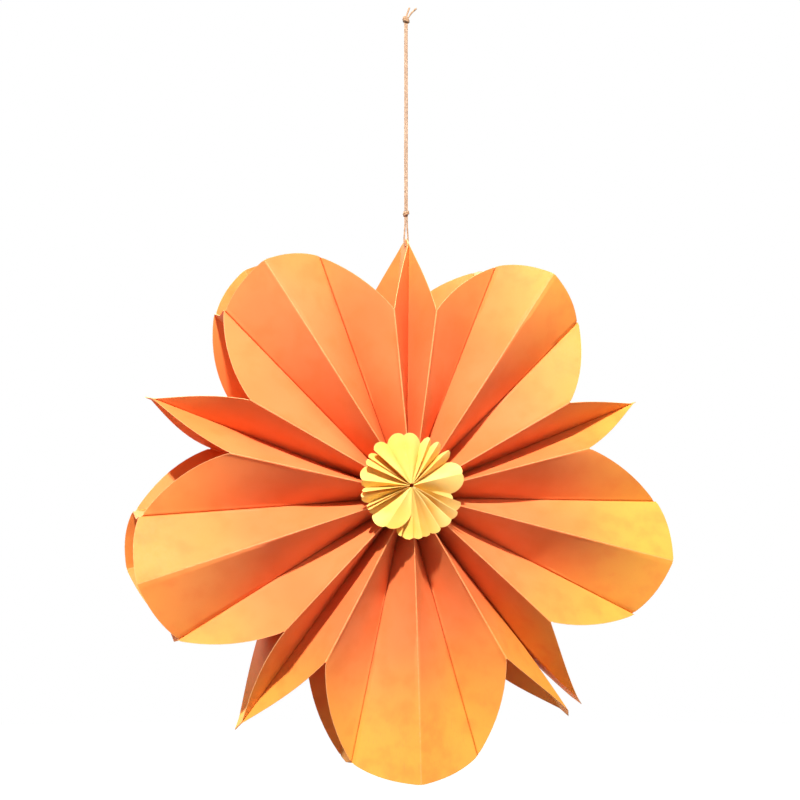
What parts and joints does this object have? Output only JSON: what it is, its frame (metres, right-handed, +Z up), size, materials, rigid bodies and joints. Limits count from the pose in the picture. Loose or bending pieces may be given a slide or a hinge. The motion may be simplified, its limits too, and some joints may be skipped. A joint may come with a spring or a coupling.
{
  "type": "paper flower lantern",
  "caption": "Hanging flower lantern of glued paper cells with rounded petals, pointed star tips, pleated yellow rosettes and a twine loop; the fan folds flat.",
  "frame": {"origin": "the point under the upper knot, between the two twine strands, where a hook carries the lantern", "axes": "+Z up, the front of the flower faces -Y, +X to the right seen from the front"},
  "size_m": [0.443, 0.1528, 0.6592],
  "materials": {
    "orange_card": "matte dyed card",
    "yellow_paper": "matte dyed paper",
    "twine": "undyed natural fibre",
    "magnet_steel": "nickel plated"
  },
  "bodies": {
    "hanging_twine": {"upper_knot": "twine", "twine_end_short": "twine", "twine_end_long": "twine", "twine_strand_left": "twine", "twine_strand_right": "twine"},
    "hanger_loop": {"lower_knot": "twine", "twine_eye": "twine"},
    "top_star": {"wall_top_star": "orange_card", "front_rosette": "yellow_paper", "back_rosette": "yellow_paper"},
    "left_cell_1": {"wall_left_1": "orange_card", "front_fold_left_1": "orange_card", "back_fold_left_1": "orange_card"},
    "left_cell_2": {"wall_left_2": "orange_card", "front_fold_left_2": "orange_card", "back_fold_left_2": "orange_card"},
    "left_cell_3": {"wall_left_3": "orange_card", "front_fold_left_3": "orange_card", "back_fold_left_3": "orange_card"},
    "left_cell_4": {"wall_left_4": "orange_card", "front_fold_left_4": "orange_card", "back_fold_left_4": "orange_card"},
    "left_cell_5": {"wall_left_5": "orange_card", "front_fold_left_5": "orange_card", "back_fold_left_5": "orange_card"},
    "left_cell_6": {"wall_left_6": "orange_card", "front_fold_left_6": "orange_card", "back_fold_left_6": "orange_card"},
    "left_cell_7": {"wall_left_7": "orange_card", "front_fold_left_7": "orange_card", "back_fold_left_7": "orange_card"},
    "left_cell_8": {"wall_left_8": "orange_card", "front_fold_left_8": "orange_card", "back_fold_left_8": "orange_card"},
    "left_cell_9": {"wall_left_9": "orange_card", "front_fold_left_9": "orange_card", "back_fold_left_9": "orange_card", "seam_magnet_left": "magnet_steel"},
    "right_cell_1": {"wall_right_1": "orange_card", "front_fold_right_1": "orange_card", "back_fold_right_1": "orange_card"},
    "right_cell_2": {"wall_right_2": "orange_card", "front_fold_right_2": "orange_card", "back_fold_right_2": "orange_card"},
    "right_cell_3": {"wall_right_3": "orange_card", "front_fold_right_3": "orange_card", "back_fold_right_3": "orange_card"},
    "right_cell_4": {"wall_right_4": "orange_card", "front_fold_right_4": "orange_card", "back_fold_right_4": "orange_card"},
    "right_cell_5": {"wall_right_5": "orange_card", "front_fold_right_5": "orange_card", "back_fold_right_5": "orange_card"},
    "right_cell_6": {"wall_right_6": "orange_card", "front_fold_right_6": "orange_card", "back_fold_right_6": "orange_card", "seam_magnet_right": "magnet_steel"}
  },
  "joints": [
    {"name": "cord_twist", "type": "hinge", "parent": "hanging_twine", "child": "hanger_loop", "pos_m": [0, 0, -0.1655], "axis": [0, 0, 1], "range_deg": [-180, 180]},
    {"name": "lantern_swing", "type": "hinge", "parent": "hanger_loop", "child": "top_star", "pos_m": [0, 0, -0.1935], "axis": [1, 0, 0], "range_deg": [-25, 25]},
    {"name": "fold_left_1", "type": "hinge", "parent": "top_star", "child": "left_cell_1", "pos_m": [-0.00659, 0, -0.40797], "axis": [0, 1, 0], "range_deg": [0, 21.4], "deforming": ["front_fold_left_1", "back_fold_left_1", "front_rosette", "back_rosette"]},
    {"name": "fold_left_2", "type": "hinge", "parent": "left_cell_1", "child": "left_cell_2", "pos_m": [-0.00756, 0, -0.40881], "axis": [0, 1, 0], "range_deg": [0, 25], "deforming": ["front_fold_left_2", "back_fold_left_2"]},
    {"name": "fold_left_3", "type": "hinge", "parent": "left_cell_2", "child": "left_cell_3", "pos_m": [-0.0085, 0, -0.40957], "axis": [0, 1, 0], "range_deg": [0, 24], "deforming": ["front_fold_left_3", "back_fold_left_3"]},
    {"name": "fold_left_4", "type": "hinge", "parent": "left_cell_3", "child": "left_cell_4", "pos_m": [-0.00872, 0, -0.41077], "axis": [0, 1, 0], "range_deg": [0, 26], "deforming": ["front_fold_left_4", "back_fold_left_4"]},
    {"name": "fold_left_5", "type": "hinge", "parent": "left_cell_4", "child": "left_cell_5", "pos_m": [-0.00847, 0, -0.41196], "axis": [0, 1, 0], "range_deg": [0, 27.5], "deforming": ["front_fold_left_5", "back_fold_left_5"]},
    {"name": "fold_left_6", "type": "hinge", "parent": "left_cell_5", "child": "left_cell_6", "pos_m": [-0.00836, 0, -0.41331], "axis": [0, 1, 0], "range_deg": [0, 22], "deforming": ["front_fold_left_6", "back_fold_left_6"]},
    {"name": "fold_left_7", "type": "hinge", "parent": "left_cell_6", "child": "left_cell_7", "pos_m": [-0.00724, 0, -0.4138], "axis": [0, 1, 0], "range_deg": [0, 24], "deforming": ["front_fold_left_7", "back_fold_left_7"]},
    {"name": "fold_left_8", "type": "hinge", "parent": "left_cell_7", "child": "left_cell_8", "pos_m": [-0.00598, 0, -0.41367], "axis": [0, 1, 0], "range_deg": [0, 27.5], "deforming": ["front_fold_left_8", "back_fold_left_8"]},
    {"name": "fold_left_9", "type": "hinge", "parent": "left_cell_8", "child": "left_cell_9", "pos_m": [-0.00295, 0, -0.41702], "axis": [0, 1, 0], "range_deg": [0, 24.3], "deforming": ["front_fold_left_9", "back_fold_left_9"]},
    {"name": "fold_right_1", "type": "hinge", "parent": "top_star", "child": "right_cell_1", "pos_m": [-0.00539, 0, -0.40776], "axis": [0, -1, 0], "range_deg": [0, 20], "deforming": ["front_fold_right_1", "back_fold_right_1"]},
    {"name": "fold_right_2", "type": "hinge", "parent": "right_cell_1", "child": "right_cell_2", "pos_m": [-0.00444, 0, -0.40863], "axis": [0, -1, 0], "range_deg": [0, 23], "deforming": ["front_fold_right_2", "back_fold_right_2"]},
    {"name": "fold_right_3", "type": "hinge", "parent": "right_cell_2", "child": "right_cell_3", "pos_m": [-0.00353, 0, -0.40942], "axis": [0, -1, 0], "range_deg": [0, 22.5], "deforming": ["front_fold_right_3", "back_fold_right_3"]},
    {"name": "fold_right_4", "type": "hinge", "parent": "right_cell_3", "child": "right_cell_4", "pos_m": [-0.00313, 0, -0.41056], "axis": [0, -1, 0], "range_deg": [0, 23], "deforming": ["front_fold_right_4", "back_fold_right_4"]},
    {"name": "fold_right_5", "type": "hinge", "parent": "right_cell_4", "child": "right_cell_5", "pos_m": [-0.00348, 0, -0.41175], "axis": [0, -1, 0], "range_deg": [0, 26], "deforming": ["front_fold_right_5", "back_fold_right_5"]},
    {"name": "fold_right_6", "type": "hinge", "parent": "right_cell_5", "child": "right_cell_6", "pos_m": [-0.0007, 0, -0.41534], "axis": [0, -1, 0], "range_deg": [0, 23.7], "deforming": ["front_fold_right_6", "back_fold_right_6"]}
  ],
  "couplings": [
    {"joint": "fold_left_2", "follows": "fold_left_1", "ratio": 1.1628},
    {"joint": "fold_left_3", "follows": "fold_left_1", "ratio": 1.1163},
    {"joint": "fold_left_4", "follows": "fold_left_1", "ratio": 1.2093},
    {"joint": "fold_left_5", "follows": "fold_left_1", "ratio": 1.2791},
    {"joint": "fold_left_6", "follows": "fold_left_1", "ratio": 1.0233},
    {"joint": "fold_left_7", "follows": "fold_left_1", "ratio": 1.1163},
    {"joint": "fold_left_8", "follows": "fold_left_1", "ratio": 1.2791},
    {"joint": "fold_left_9", "follows": "fold_left_1", "ratio": 1.1302},
    {"joint": "fold_right_1", "follows": "fold_left_1", "ratio": 0.93023},
    {"joint": "fold_right_2", "follows": "fold_left_1", "ratio": 1.0698},
    {"joint": "fold_right_3", "follows": "fold_left_1", "ratio": 1.0465},
    {"joint": "fold_right_4", "follows": "fold_left_1", "ratio": 1.0698},
    {"joint": "fold_right_5", "follows": "fold_left_1", "ratio": 1.2093},
    {"joint": "fold_right_6", "follows": "fold_left_1", "ratio": 1.1023}
  ]
}
